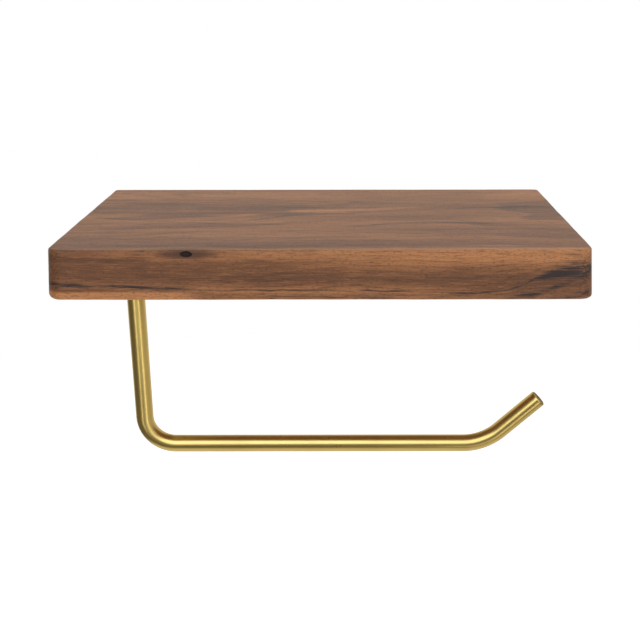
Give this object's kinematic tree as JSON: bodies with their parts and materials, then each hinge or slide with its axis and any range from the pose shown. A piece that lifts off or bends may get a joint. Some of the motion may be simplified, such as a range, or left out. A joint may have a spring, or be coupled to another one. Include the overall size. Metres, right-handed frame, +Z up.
{
  "type": "toilet paper holder",
  "caption": "Wall-hung toilet paper holder: a walnut shelf board with a bent satin brass arm under it, open at one end, held by hidden keyhole plates.",
  "frame": {"origin": "centre of the board's back face, which lies against the wall", "axes": "+X to the right seen from the front, along the board's length; +Y into the wall, so the front faces -Y; +Z up"},
  "size_m": [0.2129, 0.12, 0.114],
  "materials": {
    "walnut": "oiled, satin",
    "satin_brass": "satin, brushed along its length",
    "zinc_plated_steel": "bright zinc plating"
  },
  "bodies": {
    "root": {"shelf_board": "walnut", "roll_arm": "satin_brass", "arm_plate": "satin_brass", "arm_bolt": "zinc_plated_steel", "arm_plate_screw_front": "satin_brass", "arm_plate_screw_back": "satin_brass", "keyhole_plate_left": "zinc_plated_steel", "keyhole_plate_right": "zinc_plated_steel", "keyhole_screw_left_outer": "zinc_plated_steel", "keyhole_screw_left_inner": "zinc_plated_steel", "keyhole_screw_right_inner": "zinc_plated_steel", "keyhole_screw_right_outer": "zinc_plated_steel"}
  },
  "joints": []
}
